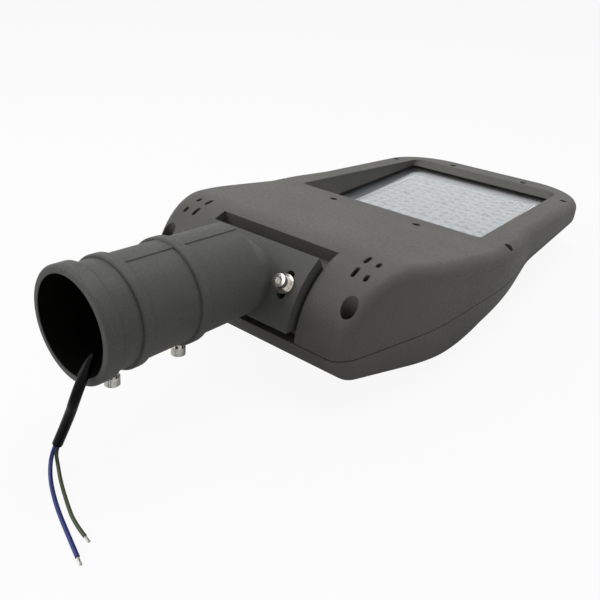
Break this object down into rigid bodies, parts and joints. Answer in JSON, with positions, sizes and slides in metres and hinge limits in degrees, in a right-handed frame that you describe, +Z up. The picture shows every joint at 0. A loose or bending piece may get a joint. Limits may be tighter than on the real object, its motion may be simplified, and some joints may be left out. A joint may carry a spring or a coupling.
{
  "type": "led street light head",
  "caption": "Die-cast led street light head with a glazed lamp window, a lens plate and a tilting pole adapter with a supply cable.",
  "frame": {"origin": "middle of the head at the level of the surface it lies on, with the cable left out", "axes": "+X from the pole end to the tip, +Z up out of the lamp window, which faces up as the head lies on its back"},
  "size_m": [0.6497, 0.2566, 0.1254],
  "materials": {
    "powder_coat": "matte",
    "black_rubber": "matte",
    "clear_glass": "gloss",
    "lens_plastic": "gloss",
    "white_board": "satin",
    "chip_yellow": "satin",
    "dark_screw": "satin",
    "stainless": "satin",
    "driver_case": "satin",
    "white_plastic": "satin",
    "black_sheath": "satin",
    "blue_insulation": "satin",
    "earth_insulation": "satin",
    "tinned_copper": "satin",
    "white_sheath": "satin"
  },
  "bodies": {
    "housing": {"adapter_bolt_left": "stainless", "adapter_bolt_right": "stainless", "corner_screw_left": "dark_screw", "corner_screw_right": "dark_screw", "cover_glass": "clear_glass", "cover_screw_end_left": "dark_screw", "cover_screw_end_right": "dark_screw", "cover_screw_front_left": "dark_screw", "cover_screw_front_right": "dark_screw", "cover_screw_rear_left": "dark_screw", "cover_screw_rear_right": "dark_screw", "cover_screw_side_left": "dark_screw", "cover_screw_side_right": "dark_screw", "driver_screw_1": "stainless", "driver_screw_2": "stainless", "flat_washer_left": "stainless", "flat_washer_right": "stainless", "glass_gasket": "black_rubber", "housing_gasket": "black_rubber", "inner_cable": "black_sheath", "led_board": "white_board", "led_chips": "chip_yellow", "led_driver": "driver_case", "led_lead": "white_sheath", "lens_plate": "lens_plastic", "lens_screw_1": "stainless", "lens_screw_2": "stainless", "lens_screw_3": "stainless", "lens_screw_4": "stainless", "lens_screw_5": "stainless", "lens_screw_6": "stainless", "lens_screw_7": "stainless", "lens_screw_8": "stainless", "lens_screw_9": "stainless", "spring_washer_left": "stainless", "spring_washer_right": "stainless", "surge_protector": "white_plastic", "terminal_block": "white_plastic", "top_shell": "powder_coat", "window_cover": "powder_coat"},
    "adapter": {"pole_adapter": "powder_coat", "pole_set_screw_front": "stainless", "pole_set_screw_back": "stainless", "cable_grommet": "black_rubber", "supply_cable": "black_sheath", "blue_core": "blue_insulation", "earth_core": "earth_insulation", "blue_core_end": "tinned_copper", "earth_core_end": "tinned_copper"}
  },
  "joints": [
    {"name": "adapter_tilt", "type": "hinge", "parent": "housing", "child": "adapter", "pos_m": [-0.10726, 0, 0.0395], "axis": [0, 1, 0], "range_deg": [-6, 6]}
  ]
}
